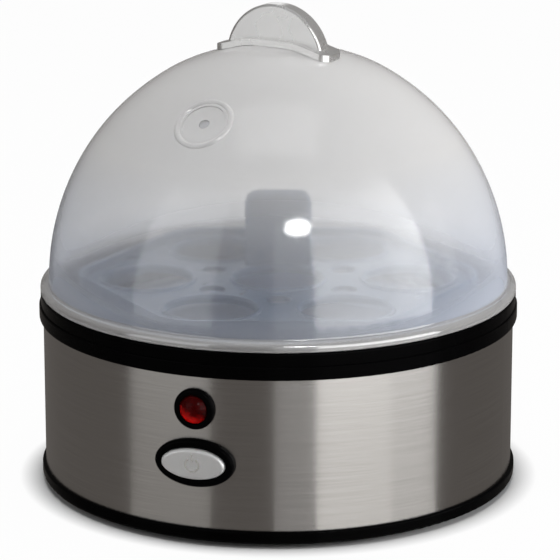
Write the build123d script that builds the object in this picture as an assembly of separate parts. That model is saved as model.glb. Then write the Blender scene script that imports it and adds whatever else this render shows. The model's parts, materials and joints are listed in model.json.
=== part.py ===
from build123d import *
import math
import os

# Electric egg cooker in millimetres: +Z up, origin at the middle of the footprint on the table,
# controls on the -Y side. Sizes grow from the egg holes out to the tray, the collar and the body.

# Shared fits
seat_gap = 0.1  # between curved faces that rest on each other
pass_gap = 0.3  # round a piece in the hole that it passes through
slide_gap = 0.3  # round the button that travels
screw_gap = 0.05  # round a screw in its pilot hole
overrun = 5.0  # how far a cut runs past the piece

# Egg tray
egg_hole_ring = 6
egg_hole_radius = 16.8
egg_rim_width = 1.7
egg_rim_height = 1.0
egg_rim_slope = 0.5
steam_hole_radius = 5.0
post_gap = 0.8
post_width = 25.2
post_depth = 8.0
post_height = 28.4
post_corner_round = 5.0
post_edge_round = 1.2
post_wall = 1.7
tray_wall = 2.0
tray_margin = 6.5
tray_corner_round = 18.0
tray_wall_rise = 3.0
tray_deck_height = 9.0
tray_turn = 19.5

# Collar
ledge_play = 2.24
ledge_width = 7.0
gutter_run = 9.6
gutter_drop = 3.5
lip_width = 2.4
lip_step = 0.6
lip_height = 4.8
lip_drop = 2.8
lip_round = 0.8
collar_height = 10.0
collar_edge_round = 0.8
collar_step_round = 0.4
collar_wall = 2.2
collar_overhang = 1.5
throat_drop = 2.7
seat_thickness = 1.8
seat_reach = 2.9

# Steel band
band_thickness = 0.7
band_height = 56.3
band_tuck = 3.0
skirt_wall = 2.0
skirt_depth = 2.6

# Base
foot_drop = 1.5
base_overhang = 1.3
base_rim_height = 4.8
base_edge_round = 1.5
base_ring_width = 4.4
floor_recess = 1.1
floor_thickness = 2.2
spigot_height = 8.0
base_post_radius = 5.6
base_post_height = 5.2
base_slot_count = 5
base_slot_length = 34.0
base_slot_width = 3.0
base_slot_pitch = 8.0
foot_count = 4
foot_radius = 7.0
foot_circle_radius = 68.0
foot_pocket = 0.8
foot_round = 0.8

# Fasteners
screw_radius = 1.5
screw_head_radius = 3.0
screw_head_height = 2.2
screw_head_round = 0.9
head_play = 0.5
drive_length = 3.4
drive_width = 0.8
drive_depth = 1.0
boss_count = 4
boss_bearing = 45.0
boss_radius = 4.0
boss_gap = 1.0
base_screw_length = 16.0
base_head_recess = 3.4
pilot_depth = 1.5

# Heating plate, its gasket and its clips
plate_sheet = 1.2
plate_overlap = 3.0
plate_rim_play = 0.8
plate_wall_run = 8.7
plate_depth = 9.4
plate_bend = 2.0
gasket_thickness = 1.6
gasket_lip = 1.4
clip_count = 3
clip_boss_radius = 3.5
clip_width = 9.0
clip_sheet = 1.0
clip_reach = 1.8
clip_screw_length = 7.0

# Heating element
element_radius = 44.0
element_tube_radius = 3.3
element_gap_angle = 44.0
element_gap_bearing = 90.0
element_bend = 9.0
element_leg = 6.0
seal_radius = 2.9
seal_length = 4.0
pin_radius = 1.2
pin_length = 10.0

# Thermostat and thermal fuse
thermostat_cap_radius = 7.8
thermostat_cap_height = 4.5
thermostat_body_radius = 8.0
thermostat_body_height = 8.0
thermostat_edge_round = 0.6
thermostat_sheet = 0.8
stud_pitch = 24.0
stud_length = 9.0
thermostat_ear_radius = 4.5
nut_flats = 5.5
nut_height = 2.4
tab_thickness = 0.8
tab_width = 6.3
thermostat_tab_length = 9.0
thermostat_tab_spacing = 9.0
fuse_radius = 2.0
fuse_length = 12.0
fuse_offset = 26.0
fuse_end_round = 0.8

# Indicator lamp
lamp_rise = 44.4
lamp_bezel_radius = 7.6
lamp_bezel_proud = 1.9
lamp_bezel_round = 1.3
lamp_barrel_radius = 5.9
lamp_barrel_depth = 15.0
lamp_bore_radius = 4.4
lens_radius = 5.3
lens_seat = 0.3
lens_dome = 3.0
lamp_nut_radius = 8.4
lamp_nut_height = 3.5
bulb_radius = 2.6
bulb_length = 9.0
lamp_plug_thickness = 3.0
lead_radius = 0.7
lead_spacing = 4.0
lead_bend = 4.0

# Push switch
switch_rise = 24.4
switch_bezel_width = 30.0
switch_bezel_height = 18.0
switch_bezel_proud = 2.0
switch_bezel_round = 1.4
switch_barrel_wall = 1.4
switch_barrel_depth = 9.0
button_width = 24.0
button_height = 11.4
button_proud = 1.4
button_edge_round = 1.2
button_skirt = 6.8
button_wall = 1.5
switch_body_width = 24.0
switch_body_height = 15.0
switch_body_depth = 20.0
plunger_radius = 2.0
plunger_insert = 5.0
plunger_bore_depth = 9.5
spring_radius = 3.2
spring_wire_radius = 0.3
spring_turns = 5
switch_tab_length = 7.0
switch_tab_spacing = 10.0

# Terminal block
block_width = 24.0
block_depth = 14.0
block_height = 12.0
block_offset_x = 30.0
block_offset_y = 52.0
block_pad = 3.0
pole_spacing = 12.0
pole_screw_spacing = 7.0
pole_screw_radius = 1.8
pole_screw_depth = 4.0
block_screw_length = 14.0

# Wires
wire_radius = 1.1
wire_stub = 10.0  # straight run out of a terminal
floor_run_height = 5.0

# Cord gland
gland_rise = 20.0
gland_bore_radius = 3.7
gland_neck_radius = 5.8
gland_flange_radius = 8.0
gland_outer_length = 4.0
gland_inner_length = 4.0
gland_round = 1.2

# Lid
lid_play = 0.8
lid_turn = -10.5
spigot_width = 1.8
spigot_depth = 2.0
dome_wall = 1.8
dome_rise = 89.4
flange_thickness = 3.4
flange_round = 0.8
flange_top_round = 1.8
dome_root_share = 0.75
dome_seam_angle = 45.0
dome_arc_steps = 8
vent_ring_radius = 10.2
vent_bead_radius = 1.2
vent_bead_height = 0.7
vent_radius = 8.2
vent_recess = 0.9
vent_hole_radius = 2.0
vent_tilt = 39.5

# Lid handle
handle_radius = 20.4
handle_rise = 15.2
handle_thickness = 7.0
handle_edge_round = 1.2
handle_plate_margin = 3.6
handle_plate_width = 13.5
handle_plate_round = 4.0
handle_plate_thickness = 2.4
handle_screw_spacing = 20.0
handle_screw_length = 9.0

# Tray layout: the ring of holes stands just clear of the post beside the centre hole
rim_radius = egg_hole_radius + egg_rim_width
clear_radius = rim_radius + post_gap
post_back = clear_radius + post_depth
hex_cos = math.cos(math.pi / egg_hole_ring)
hex_sin = math.sin(math.pi / egg_hole_ring)
post_lean = post_width / 2 * hex_sin + post_back * hex_cos
post_reach_squared = (post_width / 2) ** 2 + post_back**2 - clear_radius**2
egg_pitch = post_lean + math.sqrt(post_lean**2 - post_reach_squared)
tray_apothem = egg_pitch * hex_cos + rim_radius + tray_margin
tray_radius = tray_apothem / hex_cos - tray_corner_round * (1 / hex_cos - 1)

# Radii from the tray outwards
ledge_radius = tray_radius + ledge_play
ledge_inner_radius = ledge_radius - ledge_width
seat_inner_radius = ledge_inner_radius - seat_reach
lip_inner_radius = ledge_radius + gutter_run
lip_radius = lip_inner_radius + lip_width
collar_radius = lip_radius + lip_step
band_radius = collar_radius - collar_overhang
band_inner_radius = band_radius - band_thickness
base_radius = band_radius + base_overhang
skirt_radius = band_inner_radius - pass_gap
skirt_inner_radius = skirt_radius - skirt_wall
boss_circle_radius = skirt_inner_radius - boss_gap - boss_radius
clip_circle_radius = skirt_inner_radius - boss_gap - clip_boss_radius
plate_flange_radius = seat_inner_radius + plate_overlap
plate_rim_radius = seat_inner_radius - plate_rim_play
pan_radius = plate_rim_radius - plate_wall_run
spigot_radius = lip_inner_radius - lid_play
dome_radius = spigot_radius - spigot_width + dome_wall

# Heights from the table upwards
base_z = foot_drop
floor_under_z = base_z + floor_recess
floor_z = floor_under_z + floor_thickness
base_post_z = floor_z + base_post_height
base_head_seat_z = floor_under_z + base_head_recess
band_z = base_z + base_rim_height
collar_z = band_z + band_height
collar_top_z = collar_z + collar_height
lip_z = collar_top_z - lip_height
gutter_z = collar_top_z - lip_drop
ledge_z = gutter_z - gutter_drop
seat_top_z = ledge_z - throat_drop
seat_z = seat_top_z - seat_thickness
plate_z = seat_z - gasket_thickness
plate_under_z = plate_z - plate_sheet
pan_z = plate_z - plate_depth
pan_under_z = pan_z - plate_sheet
deck_z = ledge_z + tray_deck_height
dome_foot_z = collar_top_z + flange_thickness
dome_top_z = dome_foot_z + dome_rise
handle_top_z = dome_top_z + handle_rise
lamp_z = band_z + lamp_rise
switch_z = band_z + switch_rise
gland_z = band_z + gland_rise
floor_run_z = floor_z + floor_run_height

FROM_BELOW = (Align.CENTER, Align.CENTER, Align.MIN)


# Shape helpers
def ring(*corners):
    """Solid turned about Z from (radius, height) corners, each with an optional rounding."""
    points = [corner[:2] for corner in corners]
    rounds = [corner[2] if len(corner) > 2 else 0 for corner in corners]
    outline = FilletPolyline(*points, radius=rounds, close=True)
    return revolve(Plane.XZ * make_face(outline), Axis.Z)


def disc(radius, low, high):
    return Pos(0, 0, low) * Cylinder(radius, high - low, align=FROM_BELOW)


def block(width, depth, low, high):
    return Pos(0, 0, low) * Box(width, depth, high - low, align=FROM_BELOW)


def oval(width, height, low, high):
    return Pos(0, 0, low) * extrude(Ellipse(width / 2, height / 2), amount=high - low)


def around(count, radius, first_angle, shape):
    """Copies of a shape set on a circle about Z."""
    step = math.tau / count
    angles = [math.radians(first_angle) + step * index for index in range(count)]
    places = [Pos(radius * math.cos(angle), radius * math.sin(angle)) for angle in angles]
    return [place * shape for place in places]


def screw(length):
    """Cross-head screw standing on its head, with the seat of the head at z = 0."""
    body = ring(
        (0, -screw_head_height),
        (screw_head_radius, -screw_head_height, screw_head_round),
        (screw_head_radius, 0),
        (screw_radius, 0),
        (screw_radius, length),
        (0, length),
    )
    low = -screw_head_height - overrun
    high = drive_depth - screw_head_height
    return body - block(drive_length, drive_width, low, high) - block(drive_width, drive_length, low, high)


def tube(points, radius):
    """Wire along straight runs, with each bend as wide as its two runs allow."""
    spots = [Vector(*point) for point in points]
    run_share = 0.45
    bends = []
    for before, here, after in zip(spots, spots[1:], spots[2:]):
        turn = math.radians((here - before).get_angle(after - here))
        shorter = min((here - before).length, (after - here).length)
        bends.append(run_share * shorter / math.tan(turn / 2))
    path = FilletPolyline(*spots, radius=bends)
    start = Plane(origin=path @ 0, z_dir=path % 0)
    return sweep(start * Circle(radius), path=path)


def front(height):
    """Frame on the front of the band: local z points out, local y points up."""
    return Plane(origin=(0, -band_radius, height), x_dir=(1, 0, 0), z_dir=(0, -1, 0)).location


def rear(height):
    """Frame on the back of the band: local z points out, local y points up."""
    return Plane(origin=(0, band_radius, height), x_dir=(-1, 0, 0), z_dir=(0, 1, 0)).location


def dome_arc(offset, end_radius):
    """Quarter of the dome's ellipse, grown by an offset, from its foot up to a radius near the axis."""
    width = dome_radius + offset
    rise = dome_rise + offset
    end = math.acos(end_radius / width)
    turns = [end * index / dome_arc_steps for index in range(dome_arc_steps + 1)]
    points = [(width * math.cos(turn), dome_foot_z + rise * math.sin(turn)) for turn in turns]
    return Spline(*points, tangents=[(0, 1), (-width * math.sin(end), rise * math.cos(end))])


def dome_form(offset):
    """Solid half ellipsoid of the dome, grown by an offset."""
    foot = (0, dome_foot_z)
    sides = Polyline((0, dome_foot_z + dome_rise + offset), foot, (dome_radius + offset, dome_foot_z))
    return revolve(Plane.XZ * make_face(dome_arc(offset, 0) + sides), Axis.Z)


def dome_height(offset, radius):
    """Height of the dome surface, grown by an offset, at a radius from the axis."""
    share = radius / (dome_radius + offset)
    return dome_foot_z + (dome_rise + offset) * math.sqrt(1 - share**2)


# Lid
handle_screw_places = [Pos(side * handle_screw_spacing / 2, 0, 0) for side in (-1, 1)]
handle_seat_radius = handle_screw_spacing / 2 + screw_head_radius + head_play
handle_seat_z = dome_height(-dome_wall, handle_seat_radius)


def vent_frame():
    """Frame on the front slope of the dome: local z points straight out of the dome."""
    lean = math.radians(vent_tilt)
    steep = math.atan2(math.sin(lean) * dome_radius, math.cos(lean) * dome_rise)
    out = -dome_radius * math.sin(steep)
    up = dome_foot_z + dome_rise * math.cos(steep)
    return Plane(origin=(0, out, up), x_dir=(1, 0, 0), z_dir=(0, -math.sin(lean), math.cos(lean))).location


def lid_shell():
    """Dome with a flat seat inside its crown, flange and spigot as one turned wall."""
    inner_radius = dome_radius - dome_wall
    spigot_z = collar_top_z - spigot_depth
    outer = dome_arc(0, 0)
    inner = dome_arc(-dome_wall, handle_seat_radius)
    crown = Polyline((0, dome_top_z), (0, handle_seat_z), (handle_seat_radius, handle_seat_z))
    rim = Polyline(
        (inner_radius, dome_foot_z),
        (inner_radius, spigot_z),
        (spigot_radius, spigot_z),
        (spigot_radius, collar_top_z),
        (lip_radius, collar_top_z),
        (lip_radius, dome_foot_z),
        (dome_radius, dome_foot_z),
    )
    face = make_face([*outer.edges(), *crown.edges(), *inner.edges(), *rim.edges()])
    face = fillet(face.vertices().group_by(Axis.X)[-1].sort_by(Axis.Y)[0], flange_round)
    face = fillet(face.vertices().group_by(Axis.X)[-1].sort_by(Axis.Y)[-1], flange_top_round)
    shell = Rot(0, 0, dome_seam_angle) * revolve(Plane.XZ * face, Axis.Z)
    circles = shell.edges().filter_by(GeomType.CIRCLE)
    at_foot = circles.filter_by(lambda edge: abs(edge.center().Z - dome_foot_z) < seat_gap)
    root = at_foot.filter_by(lambda edge: abs(edge.radius - dome_radius) < seat_gap)
    ledge = lip_radius - dome_radius - flange_top_round
    return fillet(root, dome_root_share * ledge)


def vent_bead():
    """Round moulded ring that stands out of the dome round the vent."""
    drop = vent_ring_radius**2 / (2 * dome_radius)
    sink = drop + vent_bead_radius - vent_bead_height
    return vent_frame() * Pos(0, 0, -sink) * Torus(vent_ring_radius, vent_bead_radius)


def lid_dome():
    body = lid_shell() + vent_bead()
    body -= vent_frame() * disc(vent_radius, -vent_recess, overrun)
    body -= vent_frame() * disc(vent_hole_radius, -overrun, overrun)
    for place in handle_screw_places:
        body -= place * disc(screw_radius + pass_gap, handle_seat_z - overrun, dome_top_z + overrun)
    return Rot(0, 0, lid_turn) * body


def lid_handle():
    center_z = handle_top_z - handle_radius
    tab = Rot(90, 0, 0) * Cylinder(handle_radius, handle_thickness)
    tab = Pos(0, 0, center_z) * fillet(tab.edges().filter_by(GeomType.CIRCLE), handle_edge_round)
    plate_length = 2 * (handle_radius + handle_plate_margin)
    outline = RectangleRounded(plate_length, handle_plate_width, handle_plate_round)
    plate = extrude(outline, amount=handle_top_z)
    plate &= dome_form(handle_plate_thickness)
    body = tab + plate - dome_form(seat_gap)
    for place in handle_screw_places:
        top = handle_seat_z + handle_screw_length + pilot_depth
        body -= place * disc(screw_radius + screw_gap, handle_seat_z, top)
    return Rot(0, 0, lid_turn) * body


def lid_handle_screws():
    seat = Rot(0, 0, lid_turn) * Pos(0, 0, handle_seat_z)
    return Compound(children=[seat * place * screw(handle_screw_length) for place in handle_screw_places])


# Egg tray
def tray_outline(inset):
    corner = (tray_apothem - inset) / hex_cos
    sketch = RegularPolygon(corner, egg_hole_ring)
    return fillet(sketch.vertices(), tray_corner_round - inset)


def egg_rim():
    """Raised rim round an egg hole, sloped on both sides."""
    return ring(
        (0, deck_z - tray_wall),
        (rim_radius, deck_z - tray_wall),
        (rim_radius, deck_z),
        (rim_radius - egg_rim_slope, deck_z + egg_rim_height),
        (0, deck_z + egg_rim_height),
    )


def post(inset):
    """Upright lifting post with rounded top corners, or its hollow when inset."""
    width = post_width - 2 * inset
    top = deck_z + post_height - inset
    side = Polyline(
        (-width / 2, deck_z - tray_wall),
        (-width / 2, top),
        (width / 2, top),
        (width / 2, deck_z - tray_wall),
        close=True,
    )
    face = make_face(side)
    face = fillet(face.vertices().group_by(Axis.Y)[-1], post_corner_round - inset)
    depth = post_depth - 2 * inset
    middle = clear_radius + post_depth / 2
    return Pos(0, middle, 0) * extrude(Plane.XZ * face, amount=depth / 2, both=True)


def egg_tray():
    wall_top = deck_z + tray_wall_rise
    shell = extrude(Pos(0, 0, ledge_z) * tray_outline(0), amount=wall_top - ledge_z)
    hollow = tray_outline(tray_wall)
    shell -= extrude(Pos(0, 0, deck_z) * hollow, amount=overrun + tray_wall_rise)
    shell -= extrude(Pos(0, 0, ledge_z - overrun) * hollow, amount=tray_deck_height - tray_wall + overrun)
    outer_post = post(0)
    upright = outer_post.edges().filter_by(Axis.Z)
    shell += fillet(upright, post_edge_round)
    spots = [Pos(0, 0, 0), *around(egg_hole_ring, egg_pitch, 0, Pos(0, 0, 0))]
    shell += [spot * egg_rim() for spot in spots]
    rim_top = deck_z + egg_rim_height
    funnel = ring(
        (0, deck_z - tray_wall - overrun),
        (egg_hole_radius, deck_z - tray_wall - overrun),
        (egg_hole_radius, deck_z),
        (egg_hole_radius + egg_rim_slope, rim_top),
        (0, rim_top),
    )
    shell -= [spot * funnel for spot in spots]
    shell -= post(post_wall)
    steam_circle = egg_pitch / (2 * hex_cos)
    steam = disc(steam_hole_radius, deck_z - tray_wall - overrun, deck_z + overrun)
    steam_spots = around(egg_hole_ring, steam_circle, math.degrees(math.pi / egg_hole_ring), steam)
    behind_post = 1
    shell -= [hole for index, hole in enumerate(steam_spots) if index != behind_post]
    return Rot(0, 0, tray_turn) * shell


# Body
def gutter_height(radius):
    return ledge_z + gutter_drop * (radius - ledge_radius) / gutter_run


def collar_envelope():
    """Everything below the upper faces of the collar, to trim the bosses."""
    return ring(
        (0, base_z),
        (lip_inner_radius, base_z),
        (lip_inner_radius, gutter_z),
        (ledge_radius, ledge_z),
        (0, ledge_z),
    )


def top_collar():
    groove_z = collar_z + band_tuck
    groove_radius = band_radius + pass_gap
    body = ring(
        (collar_radius, collar_z, collar_edge_round),
        (collar_radius, lip_z, collar_step_round),
        (lip_radius, lip_z),
        (lip_radius, collar_top_z, lip_round),
        (lip_inner_radius, collar_top_z, lip_round),
        (lip_inner_radius, gutter_z, lip_round),
        (ledge_radius, ledge_z),
        (ledge_inner_radius, ledge_z, lip_round),
        (ledge_inner_radius, seat_top_z),
        (seat_inner_radius, seat_top_z),
        (seat_inner_radius, seat_z),
        (ledge_inner_radius + collar_wall, seat_z),
        (ledge_inner_radius + collar_wall, ledge_z - collar_wall),
        (ledge_radius, ledge_z - collar_wall),
        (skirt_inner_radius, gutter_height(skirt_inner_radius) - collar_wall),
        (skirt_inner_radius, collar_z - skirt_depth),
        (skirt_radius, collar_z - skirt_depth),
        (skirt_radius, groove_z),
        (groove_radius, groove_z),
        (groove_radius, collar_z),
    )
    boss = disc(boss_radius, base_post_z, collar_top_z)
    clip_boss = disc(clip_boss_radius, plate_under_z, collar_top_z)
    bosses = around(boss_count, boss_circle_radius, boss_bearing, boss)
    bosses += around(clip_count, clip_circle_radius, 0, clip_boss)
    body += (Part() + bosses) & collar_envelope()
    boss_top_z = base_head_seat_z + base_screw_length + pilot_depth
    boss_pilot = disc(screw_radius + screw_gap, base_post_z, boss_top_z)
    clip_top_z = plate_under_z - clip_sheet + clip_screw_length
    clip_pilot = disc(screw_radius + screw_gap, plate_under_z, clip_top_z)
    body -= around(boss_count, boss_circle_radius, boss_bearing, boss_pilot)
    body -= around(clip_count, clip_circle_radius, 0, clip_pilot)
    return body


def switch_opening(grow):
    """Oval prism of the switch barrel, grown by a clearance, through the band."""
    wall = switch_barrel_wall + slide_gap + grow
    return oval(button_width + 2 * wall, button_height + 2 * wall, -switch_barrel_depth, 0)


def steel_band():
    top_z = collar_z + band_tuck - pass_gap
    body = disc(band_radius, band_z, top_z) - disc(band_inner_radius, band_z, top_z)
    lamp_hole = disc(lamp_barrel_radius + pass_gap, -lamp_barrel_depth, overrun)
    body -= front(lamp_z) * lamp_hole
    body -= front(switch_z) * (switch_opening(pass_gap) + Pos(0, 0, overrun) * switch_opening(pass_gap))
    body -= rear(gland_z) * disc(gland_neck_radius + pass_gap, -gland_inner_length, overrun)
    return body


def base_pan():
    body = ring(
        (0, floor_under_z),
        (base_radius - base_ring_width, floor_under_z),
        (base_radius - base_ring_width, base_z),
        (base_radius, base_z, base_edge_round),
        (base_radius, band_z, base_edge_round / 2),
        (skirt_radius, band_z),
        (skirt_radius, band_z + spigot_height),
        (skirt_inner_radius, band_z + spigot_height),
        (skirt_inner_radius, floor_z),
        (0, floor_z),
    )
    base_post = disc(base_post_radius, floor_under_z, base_post_z)
    posts = around(boss_count, boss_circle_radius, boss_bearing, base_post)
    pad = block(block_width, block_depth, floor_under_z, floor_z + block_pad)
    body += [*posts, Pos(block_offset_x, block_offset_y) * pad]
    recess = disc(screw_head_radius + head_play, base_z - overrun, base_head_seat_z)
    through = disc(screw_radius + pass_gap, base_head_seat_z, base_post_z)
    body -= around(boss_count, boss_circle_radius, boss_bearing, recess + through)
    pocket = disc(foot_radius + pass_gap, base_z - overrun, floor_under_z + foot_pocket)
    body -= around(foot_count, foot_circle_radius, 0, pocket)
    slot = extrude(SlotOverall(base_slot_length, base_slot_width), amount=floor_z + overrun)
    middle = (base_slot_count - 1) / 2
    body -= [Pos(0, (index - middle) * base_slot_pitch) * slot for index in range(base_slot_count)]
    pilot = disc(screw_radius + screw_gap, floor_z, floor_z + block_pad)
    body -= Pos(block_offset_x, block_offset_y) * pilot
    return body


def rubber_feet():
    foot = ring(
        (0, 0),
        (foot_radius, 0, foot_round),
        (foot_radius, floor_under_z + foot_pocket),
        (0, floor_under_z + foot_pocket),
    )
    return Compound(children=around(foot_count, foot_circle_radius, 0, foot))


def base_screws():
    seated = Pos(0, 0, base_head_seat_z) * screw(base_screw_length)
    return Compound(children=around(boss_count, boss_circle_radius, boss_bearing, seated))


# Heating plate
def heating_plate():
    slope = math.atan2(plate_depth, plate_wall_run)
    shift = plate_sheet * math.tan(slope / 2)
    return ring(
        (0, pan_z),
        (pan_radius, pan_z, plate_bend),
        (plate_rim_radius, plate_z, plate_bend + plate_sheet),
        (plate_flange_radius, plate_z),
        (plate_flange_radius, plate_under_z),
        (plate_rim_radius + shift, plate_under_z, plate_bend),
        (pan_radius + shift, pan_under_z, plate_bend + plate_sheet),
        (0, pan_under_z),
    )


def plate_gasket():
    outer = plate_flange_radius + seat_gap + gasket_lip
    inner = seat_inner_radius
    return ring(
        (inner, plate_z),
        (plate_flange_radius + seat_gap, plate_z),
        (plate_flange_radius + seat_gap, plate_under_z),
        (outer, plate_under_z),
        (outer, seat_z),
        (inner, seat_z),
    )


def clip_parts(shape):
    step = math.degrees(math.tau / clip_count)
    return Compound(children=[Rot(0, 0, step * index) * shape for index in range(clip_count)])


def plate_clips():
    inner = plate_flange_radius - clip_reach
    outer = clip_circle_radius + clip_boss_radius
    strip = extrude(
        Pos((inner + outer) / 2, 0) * RectangleRounded(outer - inner, clip_width, clip_reach),
        amount=-clip_sheet,
    )
    hole = Pos(clip_circle_radius, 0) * disc(screw_radius + pass_gap, -clip_sheet - overrun, overrun)
    return clip_parts(Pos(0, 0, plate_under_z) * (strip - hole))


def plate_screws():
    return clip_parts(Pos(clip_circle_radius, 0, plate_under_z - clip_sheet) * screw(clip_screw_length))


# Heating element under the pan
element_z = pan_under_z - element_tube_radius - seat_gap
element_end_angle = math.radians(element_gap_bearing - element_gap_angle / 2)
element_end_x = element_radius * math.cos(element_end_angle)
element_end_y = element_radius * math.sin(element_end_angle)
element_tip_x = element_end_x - element_bend * math.sin(element_end_angle)
element_tip_y = element_end_y + element_bend * math.cos(element_end_angle)
element_bend_z = element_z - element_bend
element_tip_z = element_bend_z - element_leg
pin_tip_z = element_tip_z - pin_length


def element_end(side):
    """Bend from one end of the ring down into its straight leg, as arc and line."""
    start = (side * element_end_x, element_end_y, element_z)
    heading = (-side * math.sin(element_end_angle), math.cos(element_end_angle), 0)
    turned = (side * element_tip_x, element_tip_y, element_bend_z)
    tip = (side * element_tip_x, element_tip_y, element_tip_z)
    return [TangentArc(start, turned, tangent=heading), Line(turned, tip)]


def heating_element():
    first = element_gap_bearing + element_gap_angle / 2
    loop = CenterArc((0, 0, element_z), element_radius, first, 360 - element_gap_angle)
    path = Wire([*element_end(-1), loop, *element_end(1)])
    start = Plane(origin=path @ 0, z_dir=path % 0)
    return sweep(start * Circle(element_tube_radius), path=path)


def at_element_tips(shape):
    return Compound(children=[Pos(side * element_tip_x, element_tip_y, 0) * shape for side in (-1, 1)])


def element_seals():
    seal = disc(seal_radius, element_tip_z - seal_length, element_tip_z)
    return at_element_tips(seal - disc(pin_radius + screw_gap, element_tip_z - seal_length, element_tip_z))


def element_pins():
    return at_element_tips(disc(pin_radius, pin_tip_z, element_tip_z))


# Thermostat in the middle of the pan
cap_under_z = pan_under_z - thermostat_cap_height
body_top_z = cap_under_z - thermostat_sheet
body_under_z = body_top_z - thermostat_body_height
thermostat_tab_tip_z = body_under_z - thermostat_tab_length
stud_places = [Pos(side * stud_pitch / 2, 0, 0) for side in (-1, 1)]


def thermostat_cap():
    return ring(
        (0, cap_under_z),
        (thermostat_cap_radius, cap_under_z),
        (thermostat_cap_radius, pan_under_z, thermostat_edge_round),
        (0, pan_under_z),
    )


def thermostat_body():
    return ring(
        (0, body_under_z),
        (thermostat_body_radius, body_under_z, thermostat_edge_round),
        (thermostat_body_radius, body_top_z),
        (0, body_top_z),
    )


def thermostat_flange():
    sheet = Circle(thermostat_body_radius)
    sheet += SlotOverall(stud_pitch + 2 * thermostat_ear_radius, 2 * thermostat_ear_radius)
    plate = extrude(Pos(0, 0, body_top_z) * sheet, amount=thermostat_sheet)
    hole = disc(screw_radius + pass_gap, body_top_z, cap_under_z)
    return plate - [place * hole for place in stud_places]


def thermostat_studs():
    stud = disc(screw_radius, pan_under_z - stud_length, pan_under_z)
    return Compound(children=[place * stud for place in stud_places])


def thermostat_nuts():
    hexagon = RegularPolygon(nut_flats / 2, 6, major_radius=False)
    nut = extrude(Pos(0, 0, body_top_z - nut_height) * hexagon, amount=nut_height)
    nut -= disc(screw_radius + screw_gap, body_top_z - nut_height, body_top_z)
    return Compound(children=[place * nut for place in stud_places])


def thermostat_tabs():
    tab = block(tab_thickness, tab_width, thermostat_tab_tip_z, body_under_z)
    places = [Pos(side * thermostat_tab_spacing / 2, 0, 0) for side in (-1, 1)]
    return Compound(children=[place * tab for place in places])


fuse_z = pan_under_z - fuse_radius - seat_gap


def thermal_fuse():
    fuse = ring(
        (0, -fuse_length / 2),
        (fuse_radius, -fuse_length / 2, fuse_end_round),
        (fuse_radius, fuse_length / 2, fuse_end_round),
        (0, fuse_length / 2),
    )
    return Pos(0, fuse_offset, fuse_z) * Rot(0, 90, 0) * fuse


# Indicator lamp, turned about the axis that points out of the band
lamp_back = -lamp_barrel_depth


def indicator_bezel():
    flange = ring(
        (0, -overrun),
        (lamp_bezel_radius, -overrun),
        (lamp_bezel_radius, lamp_bezel_proud, lamp_bezel_round),
        (0, lamp_bezel_proud),
    )
    flange = front(lamp_z) * flange - disc(band_radius + seat_gap, band_z, collar_z)
    body = flange + front(lamp_z) * disc(lamp_barrel_radius, lamp_back, lens_seat)
    body -= front(lamp_z) * disc(lens_radius + seat_gap, lens_seat, overrun)
    return body - front(lamp_z) * disc(lamp_bore_radius, lamp_back - overrun, overrun)


def indicator_lens():
    rim_z = lamp_bezel_proud - lamp_bezel_round / 2
    crown = lens_dome
    sphere_radius = (lens_radius**2 + crown**2) / (2 * crown)
    top = Pos(0, 0, rim_z + crown - sphere_radius) * Sphere(sphere_radius)
    lens = disc(lens_radius, lens_seat, rim_z + crown) & (top + disc(lens_radius, lens_seat, rim_z))
    return front(lamp_z) * lens


def indicator_nut():
    nut = disc(lamp_nut_radius, -band_thickness - lamp_nut_height, 0)
    nut -= disc(lamp_barrel_radius + seat_gap, -band_thickness - lamp_nut_height, 0)
    return front(lamp_z) * nut & disc(band_inner_radius - seat_gap, band_z, collar_z)


def lamp_plug():
    return front(lamp_z) * disc(lamp_bore_radius - seat_gap, lamp_back, lamp_back + lamp_plug_thickness)


def neon_lamp():
    foot = lamp_back + lamp_plug_thickness
    bulb = ring(
        (0, foot),
        (bulb_radius, foot),
        (bulb_radius, foot + bulb_length, bulb_radius / 2),
        (0, foot + bulb_length),
    )
    return front(lamp_z) * bulb


def lamp_leads():
    back_y = -band_radius + lamp_barrel_depth
    low_z = switch_z + switch_body_height / 2
    leads = []
    for side in (-1, 1):
        x = side * lead_spacing / 2
        corner = (x, back_y + lead_bend, lamp_z)
        foot = (x, back_y + lead_bend, low_z)
        path = FilletPolyline((x, back_y, lamp_z), corner, foot, radius=lead_bend / 2)
        start = Plane(origin=path @ 0, z_dir=path % 0)
        leads.append(sweep(start * Circle(lead_radius), path=path))
    return Compound(children=leads)


# Push switch, drawn on the axis that points out of the band
button_front = switch_bezel_proud + button_proud
button_back = button_front - button_skirt
cap_inside = button_front - button_wall
switch_back = -switch_barrel_depth - switch_body_depth
switch_tab_y = -band_radius - switch_back + switch_tab_length


def switch_bezel():
    flange = oval(switch_bezel_width, switch_bezel_height, -overrun, switch_bezel_proud)
    flange = fillet(flange.edges().group_by(Axis.Z)[-1], switch_bezel_round)
    flange = front(switch_z) * flange - disc(band_radius + seat_gap, band_z, collar_z)
    opening_width = button_width + 2 * slide_gap
    opening_height = button_height + 2 * slide_gap
    opening = oval(opening_width, opening_height, -switch_barrel_depth - overrun, overrun)
    return flange + front(switch_z) * switch_opening(0) - front(switch_z) * opening


def button_cap():
    cap = oval(button_width, button_height, button_back, button_front)
    cap = fillet(cap.edges().group_by(Axis.Z)[-1], button_edge_round)
    inner_width = button_width - 2 * button_wall
    inner_height = button_height - 2 * button_wall
    return front(switch_z) * (cap - oval(inner_width, inner_height, button_back - overrun, cap_inside))


def switch_plunger():
    return front(switch_z) * disc(plunger_radius, -switch_barrel_depth - plunger_insert, cap_inside)


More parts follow.
